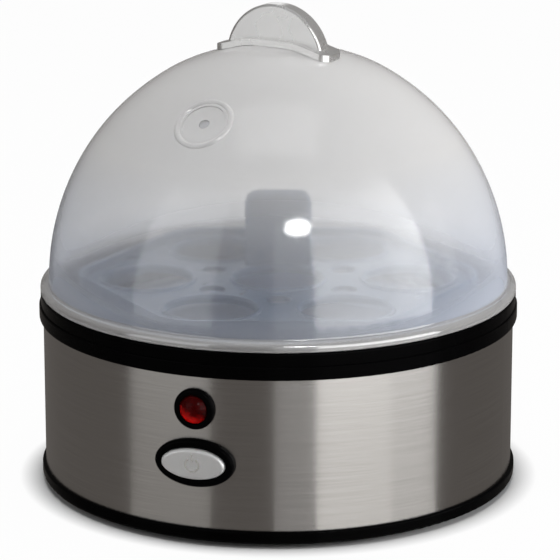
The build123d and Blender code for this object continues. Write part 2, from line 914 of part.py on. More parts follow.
def switch_body():
    body = block(switch_body_width, switch_body_height, switch_back, -switch_barrel_depth)
    body = fillet(body.edges().filter_by(Axis.Z), thermostat_edge_round)
    bore_end = -switch_barrel_depth - plunger_bore_depth
    return front(switch_z) * (body - disc(plunger_radius + slide_gap, bore_end, -switch_barrel_depth))


def button_spring():
    margin = spring_wire_radius + seat_gap
    low = -switch_barrel_depth + margin
    height = cap_inside - margin - low
    path = Helix(height / spring_turns, height, spring_radius)
    start = Plane(origin=path @ 0, z_dir=path % 0)
    coil = sweep(start * Circle(spring_wire_radius), path=path, is_frenet=True)
    return front(switch_z) * Pos(0, 0, low) * coil


def switch_tabs():
    tab = block(tab_thickness, tab_width, switch_back - switch_tab_length, switch_back)
    places = [Pos(side * switch_tab_spacing / 2, 0, 0) for side in (-1, 1)]
    return Compound(children=[front(switch_z) * place * tab for place in places])


# Terminal block on the base
block_z = floor_z + block_pad
pole_z = block_z + block_height / 2
pole_front_y = block_offset_y - block_depth / 2
pole_x = [block_offset_x + side * pole_spacing / 2 for side in (-1, 1)]


def pole_screw_places():
    rows = [block_offset_y + side * pole_screw_spacing / 2 for side in (-1, 1)]
    return [Pos(x, y, block_z + block_height) for x in pole_x for y in rows]


def terminal_block():
    body = block(block_width, block_depth, block_z, block_z + block_height)
    body = Pos(block_offset_x, block_offset_y) * body
    pole_hole = disc(pole_screw_radius + screw_gap, -pole_screw_depth, 0)
    body -= [place * pole_hole for place in pole_screw_places()]
    head_seat = block_screw_length - block_pad
    recess = disc(screw_head_radius + screw_gap, block_z + head_seat, block_z + block_height + overrun)
    shank = disc(screw_radius + screw_gap, block_z, block_z + block_height)
    return body - Pos(block_offset_x, block_offset_y) * (recess + shank)


def terminal_screws():
    post_screw = disc(pole_screw_radius, -pole_screw_depth, 0)
    post_screw -= block(2 * pole_screw_radius + overrun, drive_width, -drive_depth, overrun)
    return Compound(children=[place * post_screw for place in pole_screw_places()])


def terminal_block_screw():
    place = Pos(block_offset_x, block_offset_y, floor_z + block_screw_length)
    return place * Rot(180, 0, 0) * screw(block_screw_length)


# Wires, each from one terminal to the next
switch_stub_y = switch_tab_y + wire_stub
pole_stub_y = pole_front_y - wire_stub
fuse_stub_x = fuse_length / 2 + wire_stub


def live_wire():
    tab_x = switch_tab_spacing / 2
    return tube(
        [
            (pole_x[0], pole_front_y, pole_z),
            (pole_x[0], pole_stub_y, pole_z),
            (pole_x[0], 0, floor_run_z),
            (tab_x, switch_stub_y, switch_z),
            (tab_x, switch_tab_y, switch_z),
        ],
        wire_radius,
    )


def switched_wire():
    tab_x = -switch_tab_spacing / 2
    end_x = -thermostat_tab_spacing / 2
    return tube(
        [
            (tab_x, switch_tab_y, switch_z),
            (tab_x, switch_stub_y, switch_z),
            (end_x, -2 * wire_stub, floor_run_z),
            (end_x, 0, floor_run_z),
            (end_x, 0, thermostat_tab_tip_z),
        ],
        wire_radius,
    )


def fuse_wire():
    start_x = thermostat_tab_spacing / 2
    return tube(
        [
            (start_x, 0, thermostat_tab_tip_z),
            (start_x, 0, floor_run_z),
            (fuse_stub_x, fuse_offset - wire_stub, floor_run_z),
            (fuse_stub_x, fuse_offset, fuse_z),
            (fuse_length / 2, fuse_offset, fuse_z),
        ],
        wire_radius,
    )


def element_wire():
    return tube(
        [
            (-fuse_length / 2, fuse_offset, fuse_z),
            (-fuse_stub_x, fuse_offset, fuse_z),
            (-fuse_stub_x, element_tip_y - wire_stub, floor_run_z),
            (-element_tip_x, element_tip_y, floor_run_z),
            (-element_tip_x, element_tip_y, pin_tip_z),
        ],
        wire_radius,
    )


def neutral_wire():
    low_z = floor_run_z - wire_radius
    return tube(
        [
            (element_tip_x, element_tip_y, pin_tip_z),
            (element_tip_x, element_tip_y, low_z),
            (element_tip_x + wire_stub, pole_stub_y - wire_stub / 2, low_z),
            (pole_x[1], pole_stub_y - wire_stub, low_z),
            (pole_x[1], pole_stub_y, pole_z),
            (pole_x[1], pole_front_y, pole_z),
        ],
        wire_radius,
    )


# Cord gland in the back of the band
def cord_gland():
    body = ring(
        (gland_bore_radius, -band_thickness - gland_inner_length),
        (gland_flange_radius, -band_thickness - gland_inner_length, gland_round),
        (gland_flange_radius, gland_outer_length, gland_round),
        (gland_bore_radius, gland_outer_length),
    )
    wall = disc(band_radius + seat_gap, band_z, collar_z)
    wall -= disc(band_inner_radius - seat_gap, band_z, collar_z)
    groove = wall - rear(gland_z) * disc(gland_neck_radius, -overrun, overrun)
    return rear(gland_z) * body - groove


pieces = [
    lid_dome,
    lid_handle,
    lid_handle_screws,
    egg_tray,
    top_collar,
    steel_band,
    base_pan,
    rubber_feet,
    base_screws,
    heating_plate,
    plate_gasket,
    plate_clips,
    plate_screws,
    heating_element,
    element_seals,
    element_pins,
    thermostat_cap,
    thermostat_body,
    thermostat_flange,
    thermostat_studs,
    thermostat_nuts,
    thermostat_tabs,
    thermal_fuse,
    indicator_bezel,
    indicator_lens,
    indicator_nut,
    lamp_plug,
    neon_lamp,
    lamp_leads,
    switch_bezel,
    button_cap,
    switch_plunger,
    switch_body,
    button_spring,
    switch_tabs,
    terminal_block,
    terminal_screws,
    terminal_block_screw,
    live_wire,
    switched_wire,
    fuse_wire,
    element_wire,
    neutral_wire,
    cord_gland,
]

os.makedirs("parts", exist_ok=True)
for make_piece in pieces:
    export_step(make_piece(), f"parts/{make_piece.__name__}.step")
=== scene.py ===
import json
import math

import bmesh
import bpy
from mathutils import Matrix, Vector


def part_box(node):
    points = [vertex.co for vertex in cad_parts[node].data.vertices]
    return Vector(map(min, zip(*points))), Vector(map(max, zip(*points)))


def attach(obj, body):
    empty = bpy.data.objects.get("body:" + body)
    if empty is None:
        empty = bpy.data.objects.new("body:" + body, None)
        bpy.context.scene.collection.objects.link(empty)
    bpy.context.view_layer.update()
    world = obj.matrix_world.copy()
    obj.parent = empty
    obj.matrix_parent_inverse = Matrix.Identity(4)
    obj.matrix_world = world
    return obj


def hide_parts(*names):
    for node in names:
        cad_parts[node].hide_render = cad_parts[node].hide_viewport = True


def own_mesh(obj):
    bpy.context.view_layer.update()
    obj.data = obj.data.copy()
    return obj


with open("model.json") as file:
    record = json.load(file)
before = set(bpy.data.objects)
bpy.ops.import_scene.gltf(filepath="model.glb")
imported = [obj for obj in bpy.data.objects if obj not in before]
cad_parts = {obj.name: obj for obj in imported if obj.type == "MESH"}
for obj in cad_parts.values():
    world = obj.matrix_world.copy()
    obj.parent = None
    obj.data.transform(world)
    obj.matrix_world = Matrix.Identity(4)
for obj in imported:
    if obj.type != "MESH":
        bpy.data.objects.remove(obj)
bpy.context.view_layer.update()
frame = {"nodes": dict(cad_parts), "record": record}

# Camera at the photograph's viewing angle, in metres and degrees, with lens and sensor in millimetres
camera_distance = 1.226
camera_azimuth = 19.5
camera_elevation = 14.64
camera_lens = 209.9
sensor_width = 36.0
view_height = 0.0908
aim_drop = 0.0153
aim_right = 0.00066
clip_near = 0.05
clip_far = 30.0

# Soft lamps: bearing from the camera's side and lift in degrees, reach and size in metres, light level
key_lamp = (80.0, 3.0, 1.2, 0.9, 1.36)
fill_lamp = (-58.0, 20.0, 1.2, 0.8, 0.12)
top_lamp = (0.0, 88.0, 1.3, 0.8, 0.74)
room_light = 0.20

# Reflection cards that only gloss sees: bearings on the body where their edges mirror, and their glow
body_radius = 0.0885
card_start = 0.004
card_turn = 0.42
card_reach = 1.5
card_height = 1.75
card_fade = 0.50
card_rise = 0.0004
far_edge = 90.0
left_edges = (-37.6, -16.2)
step_edge = -1.0
right_edges = (9.0, 28.0, 40.7)
dark_glow = (0.130, 0.120, 0.112)
step_glow = (0.30, 0.288, 0.28)
step_far_glow = (0.50, 0.50, 0.50)
left_glow = (0.275, 0.263, 0.248)
left_far_glow = (0.74, 0.74, 0.74)
right_glow = (0.72, 0.705, 0.68)
right_rim_glow = (0.58, 0.568, 0.548)
right_far_glow = (2.2, 2.2, 2.2)
ceiling_size = 3.3
ceiling_glow = (0.25, 0.25, 0.25)
glint_bearing = 11.0
glint_lift = 34.6
glint_reach = 1.2
glint_width = 0.27
glint_height = 0.16
glint_glow = (14.0, 14.0, 14.0)
glint_steps = 24

# White floor, and the ring round the body where its glow sets in, in metres: the ring is a painted contact
# shade over the real shadow
floor_size = 16.0
floor_tone = (0.65, 0.65, 0.65)
floor_glow_share = 0.97
contact_inner = 0.0890
contact_outer = 0.0985

# Power symbol on the button, in metres and degrees
symbol_radius = 0.0025
symbol_line = 0.0007
symbol_rise = 0.00025
symbol_sink = 0.0003
symbol_gap = 70.0
symbol_bar = 0.0026
symbol_steps = 40
merge_distance = 0.00001

# Return spring behind the button, in metres
spring_turns = 5
spring_wire_radius = 0.0003
spring_turn_steps = 32
spring_wire_steps = 12

# Lid: height of its thick rim above the foot, and reach of fade, haze and milk above that, in metres
lid_rim_height = 0.0054
lid_rim_fade = 0.0012
lid_haze_height = 0.012
lid_milk_foot = 0.010
lid_milk_full = 0.055

# Lid: tones, gloss, and how far each veil hides what lies behind
lid_body_tone = (0.695, 0.687, 0.682)
# Painted blue light at the lid's foot, standing in for the tray that shows through there
lid_painted_tray_tint = (0.60, 0.65, 0.76)
lid_rim_tone = (0.44, 0.437, 0.435)
lid_tone_drift = 0.05
lid_rough = (0.08, 0.13)
lid_gloss = (0.11, 0.26)
lid_frost_rough = 0.20
lid_frost_ior = 1.08
lid_facing_veil = (0.16, 0.55)
lid_facing_blend = 0.42
lid_rim_veil = 0.55
lid_haze_veil = 0.18
lid_milk_veil = 0.24

# Tray: how far its post stands above the deck, in metres
tray_post_height = 0.0284

# Shared by the finishes
white = (1.0, 1.0, 1.0)
noise_range = (0.3, 0.7)
unit_range = (0.0, 1.0)


# Node helpers
def new_finish(name):
    """A node material with its Principled shader, ready to be wired."""
    material = bpy.data.materials.new(name)
    material.use_nodes = True
    tree = material.node_tree
    return material, tree, tree.nodes["Principled BSDF"]


def wire(tree, source, target):
    tree.links.new(source, target)


def calculate(tree, operation, first, second):
    """Result of a sum on two values, each a socket or a number."""
    node = tree.nodes.new("ShaderNodeMath")
    node.operation = operation
    for value, socket in zip((first, second), node.inputs):
        if isinstance(value, float):
            socket.default_value = value
        else:
            wire(tree, value, socket)
    return node.outputs["Value"]


def object_place(tree):
    return tree.nodes.new("ShaderNodeTexCoord").outputs["Object"]


def split_place(tree):
    split = tree.nodes.new("ShaderNodeSeparateXYZ")
    wire(tree, object_place(tree), split.inputs["Vector"])
    return split.outputs


def round_place(tree, around, along):
    """Coordinates wrapped round the Z axis: turns one way, height the other."""
    split = split_place(tree)
    angle = calculate(tree, "ARCTAN2", split["Y"], split["X"])
    join = tree.nodes.new("ShaderNodeCombineXYZ")
    wire(tree, calculate(tree, "MULTIPLY", angle, around), join.inputs["X"])
    wire(tree, calculate(tree, "MULTIPLY", split["Z"], along), join.inputs["Z"])
    return join.outputs["Vector"]


def noise(tree, place, scale, detail=3.0, roughness=0.55):
    texture = tree.nodes.new("ShaderNodeTexNoise")
    texture.inputs["Scale"].default_value = scale
    texture.inputs["Detail"].default_value = detail
    texture.inputs["Roughness"].default_value = roughness
    wire(tree, place, texture.inputs["Vector"])
    return texture.outputs["Fac"]


def spread(tree, value, low, high, source=noise_range):
    """A value mapped from one range to another."""
    mapped = tree.nodes.new("ShaderNodeMapRange")
    mapped.inputs["From Min"].default_value = source[0]
    mapped.inputs["From Max"].default_value = source[1]
    mapped.inputs["To Min"].default_value = low
    mapped.inputs["To Max"].default_value = high
    wire(tree, value, mapped.inputs["Value"])
    return mapped.outputs["Result"]


def two_tone(tree, value, first, second, source=noise_range):
    """A colour that drifts between two tones with a value."""
    ramp = tree.nodes.new("ShaderNodeValToRGB")
    for element, position, color in zip(ramp.color_ramp.elements, source, (first, second)):
        element.position = position
        element.color = (*color, 1.0)
    wire(tree, value, ramp.inputs["Fac"])
    return ramp.outputs["Color"]


def tinted(tree, share, color, tint):
    """A colour drawn towards a tint by a share."""
    mix = tree.nodes.new("ShaderNodeMixRGB")
    wire(tree, share, mix.inputs["Fac"])
    wire(tree, color, mix.inputs["Color1"])
    mix.inputs["Color2"].default_value = (*tint, 1.0)
    return mix.outputs["Color"]


def relief(tree, shader, value, strength, depth):
    bump = tree.nodes.new("ShaderNodeBump")
    bump.inputs["Strength"].default_value = strength
    bump.inputs["Distance"].default_value = depth
    wire(tree, value, bump.inputs["Height"])
    wire(tree, bump.outputs["Normal"], shader.inputs["Normal"])


def moulded(name, tones, rough, drift, grain, strength=0.06, depth=0.0001):
    """Moulded or cast finish: drifting colour, uneven gloss and a fine grain."""
    material, tree, shader = new_finish(name)
    place = object_place(tree)
    wire(tree, two_tone(tree, noise(tree, place, drift), *tones), shader.inputs["Base Color"])
    fine = noise(tree, place, grain, detail=2.0)
    wire(tree, spread(tree, fine, *rough), shader.inputs["Roughness"])
    relief(tree, shader, fine, strength, depth)
    return material


def shader_of(material):
    return material.node_tree.nodes["Principled BSDF"]


def facing_veil(tree, veil, blend=0.4):
    """Thin veil where a wall is seen face on, denser where it turns away."""
    facing = tree.nodes.new("ShaderNodeLayerWeight")
    facing.inputs["Blend"].default_value = blend
    return spread(tree, facing.outputs["Facing"], *veil, source=unit_range)


def mix_shaders(tree, share, first, second):
    """Passes from one shader to another as a share grows."""
    mix = tree.nodes.new("ShaderNodeMixShader")
    wire(tree, share, mix.inputs["Fac"])
    wire(tree, first, mix.inputs[1])
    wire(tree, second, mix.inputs[2])
    return mix.outputs["Shader"]


def set_surface(tree, shader):
    wire(tree, shader, tree.nodes["Material Output"].inputs["Surface"])


def clear_shader(tree, tint=white):
    """Lets light straight through, tinted on its way."""
    clear = tree.nodes.new("ShaderNodeBsdfTransparent")
    clear.inputs["Color"].default_value = (*tint, 1.0)
    return clear.outputs["BSDF"]


def see_through(material, veil, tint=white):
    """Lets the background through wherever the veil is thin."""
    tree = material.node_tree
    body = shader_of(material).outputs["BSDF"]
    set_surface(tree, mix_shaders(tree, veil, clear_shader(tree, tint), body))
    return material


def outer_face(tree):
    """One on the outer face of a hollow round body, seen from outside, nought elsewhere."""
    place = tree.nodes.new("ShaderNodeTexCoord").outputs
    outward = tree.nodes.new("ShaderNodeVectorMath")
    outward.operation = "DOT_PRODUCT"
    wire(tree, place["Object"], outward.inputs[0])
    wire(tree, place["Normal"], outward.inputs[1])
    back = tree.nodes.new("ShaderNodeNewGeometry").outputs["Backfacing"]
    outside = calculate(tree, "GREATER_THAN", outward.outputs["Value"], 0.0)
    return calculate(tree, "MULTIPLY", outside, calculate(tree, "SUBTRACT", 1.0, back))


def polish(tree, shader, rough, share):
    """Adds mirror gloss to the outer face of a shader."""
    gloss = tree.nodes.new("ShaderNodeBsdfAnisotropic")
    wire(tree, calculate(tree, "MULTIPLY", outer_face(tree), share), gloss.inputs["Color"])
    wire(tree, rough, gloss.inputs["Roughness"])
    both = tree.nodes.new("ShaderNodeAddShader")
    wire(tree, shader, both.inputs[0])
    wire(tree, gloss.outputs["BSDF"], both.inputs[1])
    return both.outputs["Shader"]


def frost(tree, rough, ior):
    """Blurs what shows through, and lets light pass unbent."""
    path = tree.nodes.new("ShaderNodeLightPath").outputs
    blur = tree.nodes.new("ShaderNodeBsdfRefraction")
    blur.inputs["Roughness"].default_value = rough
    blur.inputs["IOR"].default_value = ior
    light_ray = calculate(tree, "MAXIMUM", path["Is Shadow Ray"], path["Is Diffuse Ray"])
    return mix_shaders(tree, light_ray, blur.outputs["BSDF"], clear_shader(tree))


def metal(name, tones, rough, drift, grain):
    material = moulded(name, tones, rough, drift, grain, strength=0.04, depth=0.00006)
    shader_of(material).inputs["Metallic"].default_value = 1.0
    return material


# Finishes
def lid_color(tree, height, rim, rim_z):
    """Painted blue light of the tray behind at the foot, neutral above it, darker in the rim."""
    waves = noise(tree, object_place(tree), scale=9.0)
    drift = spread(tree, waves, -lid_tone_drift, lid_tone_drift)
    foot = spread(tree, height, 1.0, 0.0, source=(rim_z, rim_z + lid_milk_full))
    tone = calculate(tree, "ADD", foot, drift)
    wall_color = two_tone(tree, tone, lid_body_tone, lid_painted_tray_tint, source=unit_range)
    return tinted(tree, rim, wall_color, lid_rim_tone)


def lid_veil(tree, height, rim, rim_z):
    """Denser where the wall turns away, in a haze at its foot, towards its top and in the rim."""
    milk_reach = (rim_z + lid_milk_foot, rim_z + lid_milk_full)
    milk = spread(tree, height, 0.0, lid_milk_veil, source=milk_reach)
    haze = spread(tree, height, lid_haze_veil, 0.0, source=(rim_z, rim_z + lid_haze_height))
    cloud = calculate(tree, "ADD", milk, haze)
    wall = calculate(tree, "ADD", facing_veil(tree, lid_facing_veil, lid_facing_blend), cloud)
    return calculate(tree, "MAXIMUM", wall, calculate(tree, "MULTIPLY", rim, lid_rim_veil))


def clear_lid():
    """Milky clear plastic, polished outside, with a thick rim."""
    material, tree, shader = new_finish("clear_lid")
    rim_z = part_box("lid_dome")[0].z + lid_rim_height
    height = split_place(tree)["Z"]
    rim = spread(tree, height, 1.0, 0.0, source=(rim_z, rim_z + lid_rim_fade))
    wire(tree, lid_color(tree, height, rim, rim_z), shader.inputs["Base Color"])
    rough = spread(tree, noise(tree, object_place(tree), scale=30.0, detail=2.0), *lid_rough)
    wire(tree, rough, shader.inputs["Roughness"])
    frosted = frost(tree, lid_frost_rough, lid_frost_ior)
    milky = mix_shaders(tree, lid_veil(tree, height, rim, rim_z), frosted, shader.outputs["BSDF"])
    gloss_share = spread(tree, rim, *lid_gloss, source=unit_range)
    set_surface(tree, polish(tree, milky, rough, gloss_share))
    return material


def grey_handle():
    """Plastic with a satin silver coat."""
    tones = ((0.87, 0.867, 0.86), (0.90, 0.897, 0.89))
    material = moulded("grey_handle", tones, rough=(0.25, 0.30), drift=20.0, grain=60.0, strength=0.008)
    shader_of(material).inputs["Metallic"].default_value = 0.85
    return material


def smoked_tray():
    """Translucent blue-grey plastic, with painted light that makes it lighter up its post."""
    tones = ((0.045, 0.098, 0.185), (0.050, 0.107, 0.200))
    post_painted_light_tone = (0.12, 0.21, 0.34)
    material = moulded("smoked_tray", tones, rough=(0.27, 0.32), drift=25.0, grain=90.0, strength=0.02)
    tree = material.node_tree
    color = shader_of(material).inputs["Base Color"]
    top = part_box("egg_tray")[1].z
    # Painted light: the post turns lighter towards its top
    painted_light_climb = spread(tree, split_place(tree)["Z"], 0.0, 1.0, source=(top - tray_post_height, top))
    wire(tree, tinted(tree, painted_light_climb, color.links[0].from_socket, post_painted_light_tone), color)
    veil = facing_veil(tree, veil=(0.62, 0.88))
    return see_through(material, veil, tint=(0.30, 0.48, 0.75))


def black_plastic():
    tones = ((0.0010, 0.0010, 0.0011), (0.0018, 0.0018, 0.0020))
    material = moulded("black_plastic", tones, rough=(0.16, 0.24), drift=30.0, grain=700.0, strength=0.02)
    shader_of(material).inputs["Specular IOR Level"].default_value = 0.02
    return material


def brushed_band():
    """Stainless sheet with fine brush lines round the body."""
    material, tree, shader = new_finish("brushed_band")
    fine = round_place(tree, around=1.2, along=1500.0)
    lines = noise(tree, fine, scale=5.0, detail=4.0, roughness=0.65)
    streaks = noise(tree, round_place(tree, around=0.6, along=500.0), scale=4.0)
    tones = ((0.545, 0.53, 0.515), (0.605, 0.59, 0.575))
    wire(tree, two_tone(tree, streaks, *tones), shader.inputs["Base Color"])
    wire(tree, spread(tree, lines, low=0.21, high=0.27), shader.inputs["Roughness"])
    relief(tree, shader, lines, strength=0.08, depth=0.00004)
    tangent = tree.nodes.new("ShaderNodeTangent")
    tangent.direction_type = "RADIAL"
    tangent.axis = "Z"
    wire(tree, tangent.outputs["Tangent"], shader.inputs["Tangent"])
    shader.inputs["Metallic"].default_value = 1.0
    shader.inputs["Anisotropic"].default_value = 0.92
    shader.inputs["Anisotropic Rotation"].default_value = 0.25
    return material


def pan_steel():
    # Painted shade and painted blue light: the steel is darkened for the shade under the tray and tinted
    # blue for the light that comes through it
    tones = ((0.28, 0.32, 0.39), (0.31, 0.35, 0.43))
    return metal("pan_steel", tones, rough=(0.30, 0.38), drift=30.0, grain=150.0)


def zinc_screw():
    tones = ((0.58, 0.59, 0.60), (0.70, 0.71, 0.71))
    return metal("zinc_screw", tones, rough=(0.20, 0.32), drift=200.0, grain=1500.0)


def element_sheath():
    tones = ((0.30, 0.28, 0.26), (0.42, 0.40, 0.37))
    return metal("element_sheath", tones, rough=(0.35, 0.50), drift=60.0, grain=800.0)


def thermostat_can():
    tones = ((0.70, 0.70, 0.69), (0.80, 0.80, 0.79))
    return metal("thermostat_can", tones, rough=(0.25, 0.38), drift=90.0, grain=900.0)


def brass_tab():
    tones = ((0.62, 0.46, 0.20), (0.76, 0.60, 0.30))
    return metal("brass_tab", tones, rough=(0.22, 0.36), drift=150.0, grain=1200.0)


def silver_button():
    """Satin silver face of the push button."""
    tones = ((0.73, 0.73, 0.73), (0.77, 0.77, 0.77))
    material = moulded("silver_button", tones, rough=(0.28, 0.34), drift=50.0, grain=120.0, strength=0.015)
    shader_of(material).inputs["Metallic"].default_value = 0.45
    return material


def black_rubber():
    tones = ((0.020, 0.020, 0.020), (0.034, 0.034, 0.033))
    return moulded("black_rubber", tones, rough=(0.55, 0.72), drift=60.0, grain=1200.0, strength=0.15)


def grey_silicone():
    tones = ((0.36, 0.37, 0.38), (0.44, 0.45, 0.46))
    return moulded("grey_silicone", tones, rough=(0.45, 0.60), drift=60.0, grain=1000.0)


def white_ceramic():
    tones = ((0.76, 0.75, 0.70), (0.85, 0.84, 0.80))
    return moulded("white_ceramic", tones, rough=(0.50, 0.65), drift=120.0, grain=1500.0)


def phenolic():
    tones = ((0.040, 0.035, 0.030), (0.060, 0.052, 0.045))
    return moulded("phenolic", tones, rough=(0.35, 0.48), drift=60.0, grain=900.0)


def ivory_plastic():
    tones = ((0.70, 0.68, 0.60), (0.78, 0.76, 0.68))
    return moulded("ivory_plastic", tones, rough=(0.35, 0.46), drift=60.0, grain=900.0)


def red_lens():
    """Deep red plastic with painted light: brighter towards its lower left edge, dark at its top."""
    material, tree, shader = new_finish("red_lens")
    low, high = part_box("indicator_lens")
    middle = (low + high) / 2
    reach = (high.z - low.z) / 2
    painted_light_side_pull = 0.5
    fleck_pull = 0.2
    split = split_place(tree)
    side = spread(tree, split["X"], painted_light_side_pull, -painted_light_side_pull, source=(middle.x - reach, middle.x + reach))
    painted_light_drop = spread(tree, split["Z"], 1.0, -1.0, source=(middle.z - reach, middle.z + reach))
    flecks = spread(tree, noise(tree, object_place(tree), scale=500.0), -fleck_pull, fleck_pull)
    # Painted light: side and height make the lens brighter towards its lower left, with random flecks on
    # top
    depth = calculate(tree, "ADD", calculate(tree, "ADD", side, painted_light_drop), flecks)
    tones = ((0.050, 0.0006, 0.0008), (0.80, 0.008, 0.006))
    wire(tree, two_tone(tree, depth, *tones, source=unit_range), shader.inputs["Base Color"])
    rough = spread(tree, flecks, low=0.05, high=0.10, source=(-fleck_pull, fleck_pull))
    wire(tree, rough, shader.inputs["Roughness"])
    shader.inputs["Specular IOR Level"].default_value = 0.08
    return see_through(material, facing_veil(tree, veil=(0.80, 0.95)))


def lamp_glass():
    tones = ((0.80, 0.80, 0.78), (0.90, 0.90, 0.88))
    material = moulded("lamp_glass", tones, rough=(0.04, 0.08), drift=90.0, grain=400.0, strength=0.02)
    return see_through(material, facing_veil(material.node_tree, veil=(0.25, 0.60)))


def brown_wire():
    tones = ((0.16, 0.065, 0.030), (0.21, 0.095, 0.045))
    return moulded("brown_wire", tones, rough=(0.38, 0.50), drift=90.0, grain=900.0)


def blue_wire():
    tones = ((0.035, 0.10, 0.33), (0.055, 0.14, 0.42))
    return moulded("blue_wire", tones, rough=(0.38, 0.50), drift=90.0, grain=900.0)


def white_wire():
    """Woven glass sleeve."""
    tones = ((0.72, 0.71, 0.66), (0.84, 0.83, 0.78))
    rough = (0.65, 0.85)
    return moulded("white_wire", tones, rough, drift=700.0, grain=2500.0, strength=0.40, depth=0.0002)


finishes = [
    clear_lid, grey_handle, smoked_tray, black_plastic, brushed_band, pan_steel, black_rubber,
    grey_silicone, zinc_screw, element_sheath, white_ceramic, thermostat_can, phenolic, brass_tab,
    red_lens, lamp_glass, silver_button, ivory_plastic, brown_wire, blue_wire, white_wire,
]
materials = {finish.__name__: finish() for finish in finishes}


def dress(thing, slot):
    thing.data.materials.clear()
    thing.data.materials.append(materials[slot])


for subpart in frame["record"]["subparts"]:
    dress(frame["nodes"][subpart["node"]], subpart["material_slot"])


# Pieces
def link(thing):
    bpy.context.scene.collection.objects.link(thing)
    return thing


def mesh_object(name, bm):
    mesh = bpy.data.meshes.new(name)
    bm.to_mesh(mesh)
    bm.free()
    return link(bpy.data.objects.new(name, mesh))


def power_symbol():
    """Raised power sign on the face of the button: an open ring with a bar in its gap."""
    low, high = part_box("button_cap")
    center = Vector(((low.x + high.x) / 2, low.y, (low.z + high.z) / 2))
    half_gap = math.radians(symbol_gap / 2)
    radial = Vector((math.sin(half_gap), 0, math.cos(half_gap)))
    inward = Vector((0, symbol_sink, 0))
    outward = Vector((0, -symbol_rise, 0))
    edge = radial * symbol_line / 2
    middle = center + radial * symbol_radius
    corners = [
        middle - edge + inward,
        middle + edge + inward,
        middle + edge + outward,
        middle - edge + outward,
    ]
    bm = bmesh.new()
    section = bm.faces.new([bm.verts.new(corner) for corner in corners])
    bmesh.ops.spin(
        bm, geom=[section, *section.edges, *section.verts], cent=center, axis=(0, 1, 0),
        angle=math.tau - 2 * half_gap, steps=symbol_steps, use_merge=False,
    )
    bar = bmesh.ops.create_cube(bm, size=1.0)["verts"]
    bmesh.ops.scale(bm, verts=bar, vec=(symbol_line, symbol_sink + symbol_rise, symbol_bar))
    bar_middle = Vector((0, (symbol_sink - symbol_rise) / 2, symbol_radius))
    bmesh.ops.translate(bm, verts=bar, vec=center + bar_middle)
    bmesh.ops.remove_doubles(bm, verts=bm.verts, dist=merge_distance)
    bmesh.ops.recalc_face_normals(bm, faces=bm.faces)
    sign = mesh_object("power_symbol", bm)
    dress(sign, "grey_handle")
    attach(sign, "power_button")


def return_spring():
    """Coil spring behind the button."""
    low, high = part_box("button_spring")
    middle = (low + high) / 2
    back = Vector((middle.x, high.y, middle.z))
    coil_start = back + Vector((high.x - middle.x - spring_wire_radius, -spring_wire_radius, 0))
    coil_run = high.y - low.y - 2 * spring_wire_radius
    steps = spring_turns * spring_turn_steps
    bm = bmesh.new()
    bmesh.ops.create_circle(bm, cap_ends=True, segments=spring_wire_steps, radius=spring_wire_radius)
    bmesh.ops.translate(bm, verts=bm.verts, vec=coil_start)
    bmesh.ops.spin(
        bm, geom=[*bm.faces, *bm.edges, *bm.verts], cent=back, axis=(0, 1, 0),
        angle=math.tau * spring_turns, dvec=(0, -coil_run / steps, 0), steps=steps, use_merge=False,
    )
    bmesh.ops.recalc_face_normals(bm, faces=bm.faces)
    spring = mesh_object("return_spring", bm)
    dress(spring, "zinc_screw")
    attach(spring, "housing")
    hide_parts("button_spring")
    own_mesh(spring)


power_symbol()
return_spring()


# Studio
def heading(bearing):
    """Level direction at a bearing from the camera's side."""
    turn = math.radians(camera_azimuth + bearing)
    return Vector((math.sin(turn), -math.cos(turn), 0))


def mirrored(bearing, reach):
    """Floor point that the round body mirrors to the camera at a bearing on its side."""
    return heading(bearing) * body_radius + heading(2 * bearing) * reach


def aloft(bearing, lift, reach):
    """Point at a bearing and a lift, seen from the middle of the object."""
    rise = math.radians(lift)
    height = math.sin(rise) * reach + view_height
    return heading(bearing) * math.cos(rise) * reach + Vector((0, 0, height))


def facing_object(place):
    aim = Vector((0, 0, view_height)) - place
    return aim.to_track_quat("-Z", "Y")


def soft_lamp(name, bearing, lift, reach, size, level):
    """Square soft lamp that gives the object a light level, and leaves gloss to the cards."""
    light = bpy.data.lights.new(name, "AREA")
    light.shape = "SQUARE"
    light.size = size
    light.energy = level * (math.pi * reach) ** 2
    lamp = link(bpy.data.objects.new(name, light))
    lamp.location = aloft(bearing, lift, reach)
    lamp.rotation_euler = facing_object(lamp.location).to_euler()
    lamp.visible_camera = False
    lamp.visible_glossy = False


def seen_straight(tree):
    """One for what looks straight, in a mirror or through glass, nought for the light thrown."""
    path = tree.nodes.new("ShaderNodeLightPath").outputs
    mirror = calculate(tree, "MAXIMUM", path["Is Glossy Ray"], path["Is Transmission Ray"])
    return calculate(tree, "MAXIMUM", path["Is Camera Ray"], mirror)


def white_world():
    """Room light for the object, and plain white for what looks straight at it."""
    world = bpy.data.worlds.new("white_room")
    bpy.context.scene.world = world
    world.use_nodes = True
    tree = world.node_tree
    plain = tree.nodes["Background"]
    plain.inputs["Color"].default_value = (*white, 1.0)
    plain.inputs["Strength"].default_value = room_light
    bright = tree.nodes.new("ShaderNodeBackground")
    bright.inputs["Color"].default_value = (*white, 1.0)
    lights = (plain.outputs["Background"], bright.outputs["Background"])
    room = mix_shaders(tree, seen_straight(tree), *lights)
    wire(tree, room, tree.nodes["World Output"].inputs["Surface"])


